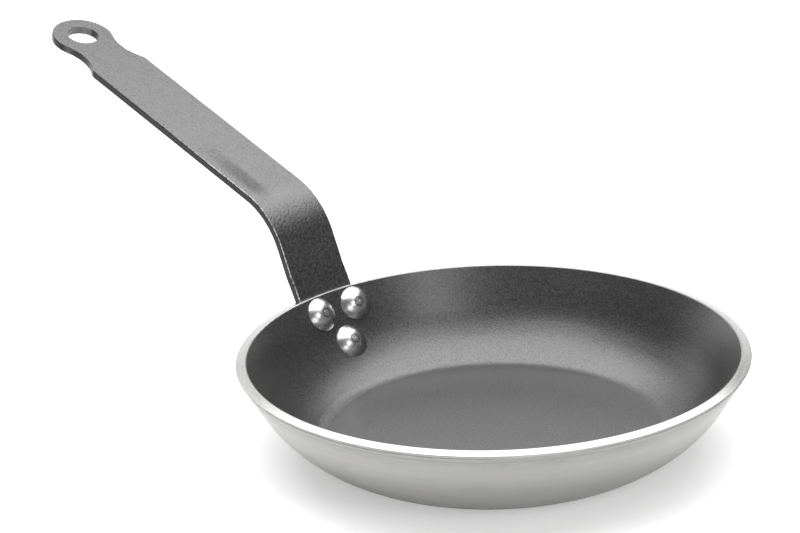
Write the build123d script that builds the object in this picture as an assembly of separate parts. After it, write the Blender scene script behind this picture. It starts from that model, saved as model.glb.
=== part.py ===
from build123d import *
from math import asin, atan2, cos, degrees, radians, sin, sqrt, tan
import os

# Omelette pan in millimetres, +Z up. The origin is the centre of the flat base, on the
# surface that the pan stands on. The handle points along +X.

# Pan body: a thick aluminium disc pressed to a flared bowl, with its rim turned to a bevel
rim_radius = 100.0
rim_height = 37.1
rim_band_width = 4.0
rim_band_drop = 1.1
rim_corner_radius = 0.35
rim_inner_radius = 0.5
rim_groove_radius = 0.3
rim_groove_below = 1.1
base_radius = 66.6
base_corner_radius = 6.0
floor_past_base = 0.7
floor_thickness = 4.5
floor_corner_radius = 10.0
# Where the slope off the base meets the straight wall, as shares of the way out and up
wall_knee_shares = (0.49, 0.225)
# How much of the sloping stretch the cove's arc takes up
cove_share = 0.97

# Non-stick lining on the floor and on the inside of the wall
lining_thickness = 0.15
lining_below_rim = 0.36

# Handle: one steel strap. Its curved pad lies against the wall, a riser stands up from
# the rim, and past a round bend the arm runs out to a neck and an eye
strap_width = 28.0
strap_thickness = 3.4
strap_edge_radius = 0.6
strap_seat_gap = 0.1
riser_angle = 66.2
riser_run = 37.1
bend_radius = 33.5
arm_angle = 17.85
eye_run = 147.5
eye_radius = 13.4
hang_hole_radius = 6.8
neck_half_width = 10.5
neck_before_eye = 14.0
shoulder_radius = 5.0
pad_margin = 7.6
pad_end_margin = 9.4
pad_fillet_radius = 5.0
# Stations on the pad, as shares of its length, and on the way from the rim up to the bend
pad_station_shares = (1.0, 0.88, 0.76, 0.64, 0.52, 0.4, 0.3, 0.2, 0.1)
riser_station_shares = (0.2, 0.35)
# How much of the wall's curve is left across the strap at the stations on the way up
curve_shares = (0.65, 0.2)
# Flat stations after those, close enough that the pad runs straight into the bend
flat_station_count = 8

# Rivets: solid aluminium, with a domed head inside and a flatter set head outside
rivet_row_run = 7.9
rivet_half_pitch = 9.1
lower_rivet_run = 22.3
shank_radius = 3.0
rivet_hole_gap = 0.05
head_radius = 7.0
head_edge_height = 0.5
head_edge_radius = 0.4
head_height = 3.7
tool_mark_radius = 1.7
tool_mark_width = 0.5
tool_mark_depth = 0.2
set_head_radius = 5.6
set_head_edge_height = 0.9
set_head_height = 2.6

# How far a cutting tool runs past what it cuts
cut_overrun = 5.0


def direction(angle):
    """Unit direction in the half section, at an angle above the horizontal."""
    return Vector(cos(radians(angle)), sin(radians(angle)))


def wall_path(edge_radius, edge_height, top_radius, top_height, corner_radius, inset):
    """Half section of a floor and wall, from the axis to the top edge, moved in by inset."""
    out_share, up_share = wall_knee_shares
    edge = Vector(edge_radius, edge_height)
    top = Vector(top_radius, top_height)
    knee = edge + Vector(out_share * (top.X - edge.X), up_share * (top.Y - edge.Y))
    slope = atan2(knee.Y - edge.Y, knee.X - edge.X)
    flare = atan2(top.Y - knee.Y, top.X - knee.X)
    shorter_run = min((knee - edge).length - corner_radius * tan(slope / 2), (top - knee).length)
    cove_radius = cove_share * shorter_run / tan((flare - slope) / 2)
    middle = (slope + flare) / 2
    miter = inset / cos(flare - middle)
    return FilletPolyline(
        (0, edge_height + inset),
        edge + Vector(-inset * tan(slope / 2), inset),
        knee + Vector(-miter * sin(middle), miter * cos(middle)),
        top + Vector(-inset * sin(flare), inset * cos(flare)),
        radius=[corner_radius - inset, cove_radius - inset],
    )


def outside_path(inset=0):
    """The pan's outer surface in half section."""
    top_height = rim_height - rim_band_drop
    return wall_path(base_radius, 0, rim_radius, top_height, base_corner_radius, inset)


def inside_path(inset=0):
    """The pan's inner surface in half section."""
    floor_radius = base_radius + floor_past_base
    top_radius = rim_radius - rim_band_width
    return wall_path(
        floor_radius, floor_thickness, top_radius, rim_height, floor_corner_radius, inset
    )


def turned(section):
    """A half section, drawn as radius and height, turned about the pan's axis."""
    return revolve(Plane.XZ * section, axis=Axis.Z)


def band_between(low_path, high_path):
    """The half section between two paths that both start on the axis."""
    edges = list(low_path.edges()) + list(high_path.edges())
    edges += [Line(low_path @ 1, high_path @ 1), Line(high_path @ 0, low_path @ 0)]
    return make_face(edges)


def under_path(path):
    """The half section of everything above a path, up past the rim."""
    top = (path @ 1) + (path % 1) * cut_overrun
    edges = list(path.edges())
    edges += [Line(path @ 1, top), Line(top, (0, top.Y)), Line((0, top.Y), path @ 0)]
    return make_face(edges)


def wall_frame(point, along):
    """Plane across the half section at a point: X along +Y, Y into the pan, Z up the wall."""
    return Plane(origin=(point.X, 0, point.Y), x_dir=(0, 1, 0), z_dir=(along.X, 0, along.Y))


def path_frame(path, run):
    """The plane across a path at a run down from its top."""
    distance = path.length - run
    point = path.position_at(distance, position_mode=PositionMode.LENGTH)
    along = path.tangent_at(distance, position_mode=PositionMode.LENGTH)
    return wall_frame(point, along)


rivet_seats = {
    "rivet_upper_left": (rivet_row_run, rivet_half_pitch),
    "rivet_upper_right": (rivet_row_run, -rivet_half_pitch),
    "rivet_lower": (lower_rivet_run, 0),
}


def rivet_place(run, side):
    """Where a rivet goes: seated at its run down the wall, then turned about the pan's axis."""
    seat = path_frame(inside_path(), run)
    flat = Plane(origin=seat.origin, x_dir=seat.x_dir, z_dir=seat.y_dir)
    return Rotation(0, 0, degrees(asin(side / seat.origin.X))) * flat.location


def rivet_holes():
    """The rivets' holes as cylinders that run past both sides of the wall and strap."""
    reach = floor_thickness + strap_thickness + cut_overrun
    hole = Cylinder(shank_radius + rivet_hole_gap, 2 * reach)
    return [rivet_place(run, side) * hole for run, side in rivet_seats.values()]


def pan_body():
    """Bowl with a bevelled rim, a turned groove under the rim, and the rivets' holes."""
    outer, inner = outside_path(), inside_path()
    section = band_between(outer, inner)
    for path, radius in ((outer, rim_corner_radius), (inner, rim_inner_radius)):
        corner = section.vertices().sort_by_distance(path @ 1)[0]
        section = fillet(corner, radius)
    groove = path_frame(outer, rim_groove_below).origin
    section -= Pos(groove.X, groove.Z) * Circle(rim_groove_radius)
    return turned(section) - rivet_holes()


def nonstick_lining():
    """Thin skin on the floor and the inside of the wall, up to the rim's rounded edge."""
    skin = turned(band_between(inside_path(), inside_path(lining_thickness)))
    skin &= Cylinder(rim_radius, 2 * (rim_height - lining_below_rim))
    return skin - rivet_holes()


def round_edges(piece, through, joints=()):
    """A piece of the strap with its outline rounded, but no edges through or across it."""

    def is_free(edge):
        middle = edge @ 0.5
        return all(abs(joint.to_local_coords(middle).Z) > strap_edge_radius for joint in joints)

    outline = piece.edges().filter_by(Axis((0, 0, 0), through), reverse=True)
    outline = outline.filter_by(Axis.Y, reverse=True)
    return fillet(outline.filter_by(is_free), strap_edge_radius)


def strap_slice(frame, wall_radius=0):
    """Cross-section of the strap's blank: flat, or curved to fit round a wall."""
    half = strap_width / 2 + pad_margin
    edges = []
    ends = []
    for depth in (0, strap_thickness):
        if wall_radius:
            radius = wall_radius + depth
            rise = radius - sqrt(radius**2 - half**2)
            left, right = (-half, rise - depth), (half, rise - depth)
            edges.append(ThreePointArc(left, (0, -depth), right))
        else:
            left, right = (-half, -depth), (half, -depth)
            edges.append(Line(left, right))
        ends.append((left, right))
    front, back = ends
    edges += [Line(front[0], back[0]), Line(front[1], back[1])]
    return frame * make_face(edges)


def pad_plane():
    """Plane of the wall's outside at the rim: X along +Y, Y up the wall, Z out of it."""
    seat = path_frame(outside_path(-strap_seat_gap), 0)
    return Plane(origin=seat.origin, x_dir=seat.x_dir, z_dir=-seat.y_dir)


def bend_reach():
    """How far the bend's arc starts before, and ends after, its corner."""
    return bend_radius * tan(radians(riser_angle - arm_angle) / 2)


def riser_frame(run):
    """The plane across the riser at a run up from the rim."""
    riser = direction(riser_angle)
    return wall_frame(outside_path(-strap_seat_gap) @ 1 + riser * run, riser)


def pad_outline():
    """Outline of the pad round the rivets and of the strap above it, on the pad's plane."""
    plane = pad_plane()
    circles = []
    for run, side in rivet_seats.values():
        spot = plane.to_local_coords(rivet_place(run, side).position)
        circle = Circle(pad_margin if side else pad_end_margin)
        circles.append(Pos(spot.X, spot.Y) * Rot(0, 0, 90) * circle)
    pad = make_hull([circle.edge() for circle in circles])
    row = plane.to_local_coords(rivet_place(rivet_row_run, 0).position).Y
    outline = pad + Pos(0, (riser_run + row) / 2) * Rectangle(strap_width, riser_run - row)
    corners = outline.vertices().filter_by(lambda corner: row < corner.Y < riser_run / 2)
    return fillet(corners, pad_fillet_radius)


def strap_pad():
    """Lower end of the strap: it follows the wall, then flattens out on its way up."""
    front = outside_path(-strap_seat_gap)
    blank_run = lower_rivet_run + pad_end_margin + cut_overrun
    slices = []
    for share in pad_station_shares:
        frame = path_frame(front, share * blank_run)
        slices.append(strap_slice(frame, frame.origin.X / frame.z_dir.Z))
    frame = wall_frame(front @ 1, (direction(riser_angle) + front % 1).normalized())
    rim_curve = frame.origin.X / frame.z_dir.Z
    slices.append(strap_slice(frame, rim_curve))
    straight_run = riser_run - bend_reach()
    for share, curve_share in zip(riser_station_shares, curve_shares):
        slices.append(strap_slice(riser_frame(share * straight_run), rim_curve / curve_share))
    for station in range(1, flat_station_count + 1):
        flat_share = share + (1 - share) * station / flat_station_count
        slices.append(strap_slice(riser_frame(flat_share * straight_run)))
    return loft(slices) & extrude(pad_plane() * pad_outline(), strap_width, both=True)


def strap_bend():
    """The bend from riser to arm: arcs with the strap's thickness between them."""
    start = riser_frame(riser_run - bend_reach())
    centre = Vector(start.origin.X, start.origin.Z) + direction(riser_angle - 90) * bend_radius
    edges = []
    ends = []
    for radius in (bend_radius, bend_radius - strap_thickness):
        foot = centre + direction(riser_angle + 90) * radius
        middle = centre + direction((riser_angle + arm_angle) / 2 + 90) * radius
        end = centre + direction(arm_angle + 90) * radius
        edges.append(ThreePointArc(foot, middle, end))
        ends.append((foot, end))
    front, back = ends
    edges += [Line(front[0], back[0]), Line(front[1], back[1])]
    return extrude(Plane.XZ * make_face(edges), strap_width / 2, both=True)


def arm_plane():
    """Plane of the arm's top face: X along the arm from the bend's corner, Z up out of it."""
    top = riser_frame(riser_run).origin
    out, up = direction(arm_angle), direction(arm_angle + 90)
    return Plane(origin=top, x_dir=(out.X, 0, out.Y), z_dir=(up.X, 0, up.Y))


def strap_arm():
    """Arm from the end of the bend: shoulders, a neck and the round eye."""
    start = bend_reach()
    half = strap_width / 2
    # The neck's arc touches the eye and is narrowest at the neck
    reach = neck_before_eye**2 + neck_half_width**2 - eye_radius**2
    neck_radius = reach / (2 * (eye_radius - neck_half_width))
    neck_run = eye_run - neck_before_eye
    centre = Vector(neck_run, neck_half_width + neck_radius)
    shoulder_run = neck_run - sqrt(neck_radius**2 - (centre.Y - half) ** 2)
    eye = Vector(eye_run, 0)
    touch = eye + (centre - eye).normalized() * eye_radius
    edges = [ThreePointArc(touch, (eye_run + eye_radius, 0), (touch.X, -touch.Y))]
    for side in (1, -1):
        edges.append(Line((start, side * half), (shoulder_run, side * half)))
        edges.append(
            ThreePointArc(
                (shoulder_run, side * half),
                (neck_run, side * neck_half_width),
                (touch.X, side * touch.Y),
            )
        )
    edges.append(Line((start, half), (start, -half)))
    outline = make_face(edges)
    shoulders = outline.vertices().sort_by_distance((shoulder_run, 0))[:2]
    outline = fillet(shoulders, shoulder_radius)
    plane = arm_plane()
    return round_edges(extrude(plane * outline, -strap_thickness), plane.z_dir)


def handle_strap():
    """Pad, bend and arm in one strap, with the hang hole and holes for the rivets."""
    plane = arm_plane()
    bend_end = Plane(origin=plane.origin + plane.x_dir * bend_reach(), z_dir=plane.x_dir)
    joints = [riser_frame(riser_run - bend_reach()), bend_end]
    pad = round_edges(strap_pad(), pad_plane().z_dir, joints)
    bend = round_edges(strap_bend(), pad_plane().z_dir, joints)
    hang_hole = plane * Pos(eye_run, 0) * Cylinder(hang_hole_radius, 2 * cut_overrun)
    return (pad + bend + strap_arm()) - hang_hole - rivet_holes()


def rivet_head(radius, edge_height, height):
    """A domed head that stands on Z = 0, with its edge let down into what it seats on."""
    dome_edge = Vector(radius, edge_height)
    rise = height - edge_height
    dome_radius = (radius**2 + rise**2) / (2 * rise)
    halfway = asin(radius / dome_radius) / 2
    crown = Vector(dome_radius * sin(halfway), height - dome_radius * (1 - cos(halfway)))
    sunk = Vector(radius, -shank_radius)
    edges = [
        Line((0, -shank_radius), sunk),
        Line(sunk, dome_edge),
        ThreePointArc(dome_edge, crown, (0, height)),
        Line((0, height), (0, -shank_radius)),
    ]
    section = make_face(edges)
    corner = section.vertices().sort_by_distance(dome_edge)[0]
    return turned(fillet(corner, head_edge_radius))


def rivet(run, side):
    """One rivet: domed head on the lining, shank through the wall and strap, set head."""
    place = rivet_place(run, side)
    seat = path_frame(inside_path(), run).origin
    back = outside_path(-strap_seat_gap - strap_thickness - rivet_hole_gap)
    grip = back.distance_to((seat.X, seat.Z, 0))
    mark = Cylinder(tool_mark_radius, 2 * tool_mark_depth)
    mark -= Cylinder(tool_mark_radius - tool_mark_width, 2 * tool_mark_depth)
    head = Pos(0, 0, lining_thickness) * rivet_head(head_radius, head_edge_height, head_height)
    head -= Pos(0, 0, lining_thickness + head_height) * mark
    head = (place * head) & turned(under_path(inside_path(lining_thickness)))
    flip = Pos(0, 0, -grip) * Rotation(180, 0, 0)
    set_head = rivet_head(set_head_radius, set_head_edge_height, set_head_height)
    set_head = (place * flip * set_head) - turned(under_path(back))
    length = grip + set_head_edge_height + lining_thickness + head_edge_height
    middle = (lining_thickness + head_edge_height - grip - set_head_edge_height) / 2
    shank = place * Pos(0, 0, middle) * Cylinder(shank_radius, length)
    return head + shank + set_head


parts = {
    "pan_body": pan_body(),
    "nonstick_lining": nonstick_lining(),
    "handle_strap": handle_strap(),
}
for name, (run, side) in rivet_seats.items():
    parts[name] = rivet(run, side)

os.makedirs("parts", exist_ok=True)
for name, shape in parts.items():
    export_step(shape, f"parts/{name}.step")
    print(f"{name}: {shape.volume / 1000:.2f} cm3, {len(shape.solids())} solid")
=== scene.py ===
from math import cos, pi, radians, sin

import bmesh
import bpy
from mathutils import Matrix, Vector

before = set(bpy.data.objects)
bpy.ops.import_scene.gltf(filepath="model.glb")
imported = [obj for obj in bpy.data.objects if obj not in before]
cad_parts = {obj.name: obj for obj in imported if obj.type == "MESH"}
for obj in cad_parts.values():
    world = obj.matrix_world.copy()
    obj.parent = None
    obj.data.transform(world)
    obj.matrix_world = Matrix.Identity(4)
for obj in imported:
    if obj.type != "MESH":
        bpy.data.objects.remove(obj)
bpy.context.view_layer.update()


# Pan body
# A thick disc of aluminium pressed to a flared bowl. Its outside is turned on a lathe, which
# leaves rings round it, finest on the last few millimetres under the bright bevelled rim.

# Heights and radii in metres. Each pair is where a change begins and where it is complete.
bevel_from = (0.0358, 0.0361)
fine_rings_from = (0.0295, 0.0315)
dull_band_from = (0.026, 0.033)
tool_step_from, tool_step_to = (0.0325, 0.0328), (0.0328, 0.0331)
lip_to = (0.0961, 0.0966)
aluminium_tint = (1.0, 0.997, 0.985)


class Wire:
    """A shader socket. Sums of wires and numbers become the Math nodes of its material."""

    def __init__(self, tree, socket=None):
        self.tree = tree
        self.socket = socket

    def node(self, kind, settings, sockets, output=0):
        """Add a node: its settings first, then its sockets' values or wires."""
        made = self.tree.nodes.new("ShaderNode" + kind)
        for name, setting in settings.items():
            setattr(made, name, setting)
        for name, value in sockets.items():
            if isinstance(value, Wire):
                self.tree.links.new(value.socket, made.inputs[name])
            else:
                made.inputs[name].default_value = value
        return Wire(self.tree, made.outputs[output] if made.outputs else None)

    def maths(self, operation, first, second):
        return self.node("Math", {"operation": operation}, {0: first, 1: second})

    def __add__(self, other):
        return self.maths("ADD", self, other)

    def __radd__(self, other):
        return self.maths("ADD", other, self)

    def __sub__(self, other):
        return self.maths("SUBTRACT", self, other)

    def __rsub__(self, other):
        return self.maths("SUBTRACT", other, self)

    def __mul__(self, other):
        return self.maths("MULTIPLY", self, other)

    def __rmul__(self, other):
        return self.maths("MULTIPLY", other, self)

    def __truediv__(self, other):
        return self.maths("DIVIDE", self, other)

    def __pow__(self, other):
        return self.maths("POWER", self, other)

    def part(self, axis):
        """One of the three numbers of a vector wire: 0, 1 or 2."""
        return self.node("SeparateXYZ", {}, {"Vector": self}, axis)

    def between(self, low, high):
        """A soft step from 0 at low to 1 at high."""
        step = {"interpolation_type": "SMOOTHSTEP"}
        return self.node("MapRange", step, {"Value": self, "From Min": low, "From Max": high})

    def noise(self, scale, detail, roughness=0.5):
        """Even noise from 0 to 1 along this vector, scale of its cells to the metre."""
        size = {"Vector": self, "Scale": scale, "Detail": detail, "Roughness": roughness}
        return self.node("TexNoise", {}, size)

    def tinted(self, tint):
        """The colour that this grey has in a tint: sockets 6 and 7 are Mix's two colours."""
        black_to_tint = {0: self, 6: (0, 0, 0, 1), 7: (*tint, 1)}
        return self.node("Mix", {"data_type": "RGBA"}, black_to_tint, 2)

    def grain(self, distance, strength):
        """A bump with this wire as its height, distance metres high."""
        height = {"Height": self, "Distance": distance, "Strength": strength}
        return self.node("Bump", {}, height)


def finish(name, surface):
    """A material whose Principled shader takes the values and wires that surface gives."""
    material = bpy.data.materials.new(name)
    material.use_nodes = True
    material.node_tree.nodes.clear()
    start = Wire(material.node_tree)
    place = start.node("TexCoord", {}, {}, "Object")
    shader = start.node("BsdfPrincipled", {}, surface(place))
    start.node("OutputMaterial", {}, {"Surface": shader})
    return material


def dress(node, material):
    """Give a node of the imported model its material."""
    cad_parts[node].material_slots[0].material = material


def from_axis(place):
    """How far a place is from the pan's axis."""
    x, y = place.part(0), place.part(1)
    return (x * x + y * y) ** 0.5


def turned_aluminium(place):
    height, radius = place.part(2), from_axis(place)
    round_x, round_y = place.part(0) / radius, place.part(1) / radius

    def lathe_lines(across, along, detail, roughness=0.5):
        """Noise drawn out into lines round the pan: cells to the metre, then per radian."""
        run = (radius + height) * across
        line = {"X": run, "Y": round_x * along, "Z": round_y * along}
        return place.node("CombineXYZ", {}, line).noise(1.0, detail, roughness)

    rings = lathe_lines(2600, 7, 3.0, 0.6)
    bands = lathe_lines(300, 2, 2.0)
    nicks = lathe_lines(3200, 28, 2.0).between(0.56, 0.70)
    patches = place.noise(30.0, 3.0)
    bevel = height.between(*bevel_from)
    fine_rings = height.between(*fine_rings_from) * (1 - bevel)
    tool_step = height.between(*tool_step_from) * (1 - height.between(*tool_step_to))
    lines = (rings - 0.5) * (0.14 + 0.20 * fine_rings)
    lines = lines - tool_step * 0.10 - nicks * fine_rings * 0.10
    dull_band = 0.09 * height.between(*dull_band_from)
    wall_grey = 0.53 - dull_band + lines + (bands - 0.5) * 0.07 + (patches - 0.5) * 0.06
    lip = 1 - radius.between(*lip_to)
    rim_grey = 0.545 + (rings - 0.5) * 0.12 - lip * 0.18
    grey = wall_grey * (1 - bevel) + rim_grey * bevel
    return {
        "Base Color": grey.tinted(aluminium_tint),
        "Metallic": 1.0,
        "Roughness": 0.40 + (rings - 0.5) * 0.16 - bevel * (1 - lip) * 0.14,
        "Normal": rings.grain(0.00001, 0.5),
    }


dress("pan_body", finish("turned aluminium", turned_aluminium))


# Lining
# Dark grey non-stick coating, sprayed on and baked: a satin skin with a very fine speckle
# and the faint orange peel of the grit-blasted metal under it.

coating_tint = (1.0, 0.99, 0.97)


def nonstick(place):
    speckle = place.noise(1300.0, 2.0, 0.7)
    dust = place.noise(2600.0, 1.0)
    cloud = place.noise(25.0, 3.0)
    flakes = speckle.between(0.50, 0.72)
    pits = 1 - speckle.between(0.38, 0.52)
    grey = 0.022 + flakes * 0.035 + dust * 0.008 + (cloud - 0.5) * 0.010
    peel = speckle * 0.6 + dust * 0.4
    return {
        "Base Color": grey.tinted(coating_tint),
        "Metallic": pits * 0.30,
        "Roughness": 0.33 + (speckle - 0.5) * 0.3,
        "IOR": 2.1,
        "Normal": peel.grain(0.0001, 0.9),
    }


dress("nonstick_lining", finish("non-stick coating", nonstick))


# Handle
# One strap of steel, cut out, bent cold and coated with dark epoxy that dries to a hammered
# grain. The cut sides are darker and duller, a painted shade, and a painted highlight runs
# along the edges up to the bend. A streak of painted shade lies by the bend, and the hand has
# dulled the outer end a little.

# Metres along the handle. Each pair is where a change begins and where it is complete.
# Where the painted highlight along the edges fades out
edge_highlight_to = (0.145, 0.185)
grip_from = (0.17, 0.27)
# Where the streak of painted shade by the bend begins and ends, and where it lies across the
# strap
bend_shade_from, bend_shade_to = (0.122, 0.134), (0.138, 0.172)
bend_shade_side, bend_shade_half_width = 0.0074, 0.00455
epoxy_tint = (0.99, 0.99, 1.0)


def grained_epoxy(place):
    hammer = place.noise(950.0, 2.0, 0.7)
    dust = place.noise(2400.0, 1.0)
    cloud = place.noise(40.0, 3.0)
    flakes = hammer.between(0.48, 0.74)
    pits = 1 - hammer.between(0.30, 0.54)
    run, across = place.part(0), place.part(1)

    # How far a face turns to either side: 0 on the broad faces, 1 on the cut sides
    side = place.node("TexCoord", {}, {}, "Normal").part(1)
    turn = side * side
    # Painted shade: the cut sides are made much darker, and duller through Metallic
    shaded_cut_side = turn.between(0.80, 0.97)
    edge = turn.between(0.10, 0.30) * (1 - turn.between(0.60, 0.90))
    # Painted highlight: the rounded edges between the broad faces and the cut sides are made
    # lighter and glossier, up to the bend
    edge_highlight = 0.8 * edge * hammer.between(0.38, 0.54) * (1 - run.between(*edge_highlight_to))

    # Painted shade: a dark, dull streak near one edge by the bend, standing in for the
    # shading of the bent strap's curled edge
    off_bend_shade = (across - bend_shade_side) / bend_shade_half_width
    bend_shade = 1 - (off_bend_shade * off_bend_shade).between(0.0, 1.0)
    bend_shade = bend_shade * run.between(*bend_shade_from) * (1 - run.between(*bend_shade_to))
    # Dulling from the grain's pits and the worn grip, and the painted shade of the streak
    dull_and_shade = pits * 0.22 + run.between(*grip_from) * 0.12 + bend_shade * 0.44
    grey = 0.004 + flakes * 0.040 + dust * 0.010 + (cloud - 0.5) * 0.008
    grey = grey * (1 - shaded_cut_side * 0.85) + edge_highlight * 0.9
    height = hammer * 0.7 + dust * 0.3
    return {
        "Base Color": grey.tinted(epoxy_tint),
        "Metallic": shaded_cut_side * 0.78 + (1 - shaded_cut_side) * dull_and_shade,
        "Roughness": 0.32 + (hammer - 0.5) * 0.4 - edge_highlight * 0.10,
        "IOR": 2.2,
        "Normal": height.grain(0.0003, 0.9),
    }


dress("handle_strap", finish("grained epoxy coat", grained_epoxy))


# Rivets
# Solid aluminium, headed in a polished die. A ring from the die's pin is left in the
# middle of each head.

ring_from, ring_to = (0.0013, 0.0016), (0.0019, 0.0023)


def polished_aluminium(place, crown, facing):
    scuffs = place.noise(900.0, 4.0, 0.6)
    cloud = place.noise(250.0, 2.0)
    out = place.node("VectorMath", {"operation": "SUBTRACT"}, {0: place, 1: crown})
    out = out.node("VectorMath", {"operation": "CROSS_PRODUCT"}, {0: out, 1: facing})
    off_axis = out.node("VectorMath", {"operation": "LENGTH"}, {0: out}, 1)
    ring = off_axis.between(*ring_from) * (1 - off_axis.between(*ring_to))
    height = scuffs * 0.1 - ring
    return {
        "Base Color": (0.70 + (cloud - 0.5) * 0.2) * (1 - ring * 0.6),
        "Metallic": 1.0,
        "Roughness": 0.28 + (scuffs - 0.5) * 0.2,
        "Normal": height.grain(0.0001, 0.4),
    }


# Where each head's crown is, and the way that it faces
crowns = {
    "rivet_upper_left": ((0.08827, 0.00877, 0.03219), (-0.86104, -0.08555, 0.50129)),
    "rivet_upper_right": ((0.08827, -0.00877, 0.03219), (-0.86104, 0.08555, 0.50129)),
    "rivet_lower": ((0.08143, 0.0, 0.02039), (-0.78914, 0.0, 0.61422)),
}
for rivet, (crown, facing) in crowns.items():
    name = rivet.replace("_", " ") + " aluminium"
    dress(rivet, finish(name, lambda place: polished_aluminium(place, crown, facing)))


# Camera
# A long lens a little above the pan, which looks down on it across the bowl with the handle
# running away to the left.

lens = bpy.data.cameras.new("camera")
lens.lens = 143.99
lens.sensor_width = 36.0
camera = bpy.data.objects.new("camera", lens)
camera.location = (-0.84030, 0.78799, 0.49744)
camera.rotation_euler = (radians(69.761), radians(1.901), radians(-132.129))
bpy.context.scene.collection.objects.link(camera)
bpy.context.scene.camera = camera


# Table
# A table covered with white paper. It glows a little, so that it is seen as white and shows
# white in the metal, but less so close round the base, where the pan keeps light off it.

table_half_width = 4.0
table_below_base = 0.0001
paper_colour = (0.88, 0.88, 0.88, 1)
paper_glow = 0.41
# The share of the glow that is lost under the pan as it is seen, and more in reflections
seen_loss, reflected_loss = 0.17, 0.56
shaded_to = (0.070, 0.105)


def seen_white(start):
    """1 for the rays that meet the background straight or by a reflection."""
    seen = start.node("LightPath", {}, {}, "Is Camera Ray")
    seen = seen + start.node("LightPath", {}, {}, "Is Glossy Ray")
    return seen + start.node("LightPath", {}, {}, "Is Transmission Ray")


sweep_mesh = bpy.data.meshes.new("sweep")
shape = bmesh.new()
bmesh.ops.create_grid(shape, x_segments=1, y_segments=1, size=table_half_width)
shape.to_mesh(sweep_mesh)
shape.free()
sweep = bpy.data.objects.new("sweep", sweep_mesh)
sweep.location.z = -table_below_base
bpy.context.scene.collection.objects.link(sweep)
paper = bpy.data.materials.new("white paper")
paper.use_nodes = True
paper.node_tree.nodes.clear()
start = Wire(paper.node_tree)
under_pan = 1 - from_axis(start.node("TexCoord", {}, {}, "Object")).between(*shaded_to)
reflected = start.node("LightPath", {}, {}, "Is Glossy Ray")
loss = under_pan * (seen_loss + reflected_loss * reflected)
glow = start.node("Emission", {}, {"Strength": seen_white(start) * paper_glow * (1 - loss)})
lit = start.node("BsdfDiffuse", {}, {"Color": paper_colour})
both = start.node("AddShader", {}, {0: lit, 1: glow})
start.node("OutputMaterial", {}, {"Surface": both})
sweep_mesh.materials.append(paper)


# Light
# One large softbox overhead and a little behind the pan, a lit backdrop, a small fill and a
# low front softbox on the side away from the handle, and a room that is white at its
# horizon and dim above it.

dim_from = (0.03, 0.12)
room = bpy.data.worlds.new("room")
room.use_nodes = True
room.node_tree.nodes.clear()
start = Wire(room.node_tree)
height = start.node("TexCoord", {}, {}, "Generated").part(2)
walls = start.node("Background", {}, {"Strength": 1 - 0.80 * height.between(*dim_from)})
start.node("OutputWorld", {}, {"Surface": walls})
bpy.context.scene.world = room


def softbox(name, azimuth, elevation, distance, size, radiance):
    """A rectangular lamp that faces the middle of the pan from that direction."""
    lamp = bpy.data.lights.new(name, "AREA")
    lamp.shape = "RECTANGLE"
    lamp.size, lamp.size_y = size
    lamp.energy = radiance * pi * lamp.size * lamp.size_y
    holder = bpy.data.objects.new(name, lamp)
    flat = cos(radians(elevation))
    towards = Vector(
        (flat * cos(radians(azimuth)), flat * sin(radians(azimuth)), sin(radians(elevation)))
    )
    holder.location = towards * distance
    holder.rotation_euler = towards.to_track_quat("Z", "Y").to_euler()
    holder.visible_camera = False
    bpy.context.scene.collection.objects.link(holder)


softbox("softbox overhead", -36.0, 74.0, distance=1.1, size=(1.6, 1.6), radiance=2.8)
softbox("lit backdrop", -23.0, 16.0, distance=1.8, size=(2.9, 0.9), radiance=1.06)
softbox("fill", 170.0, 37.0, distance=1.4, size=(0.36, 0.36), radiance=5.0)
softbox("front softbox", 147.0, 11.0, distance=1.4, size=(0.62, 0.72), radiance=2.0)

bpy.context.scene.view_settings.view_transform = "Standard"
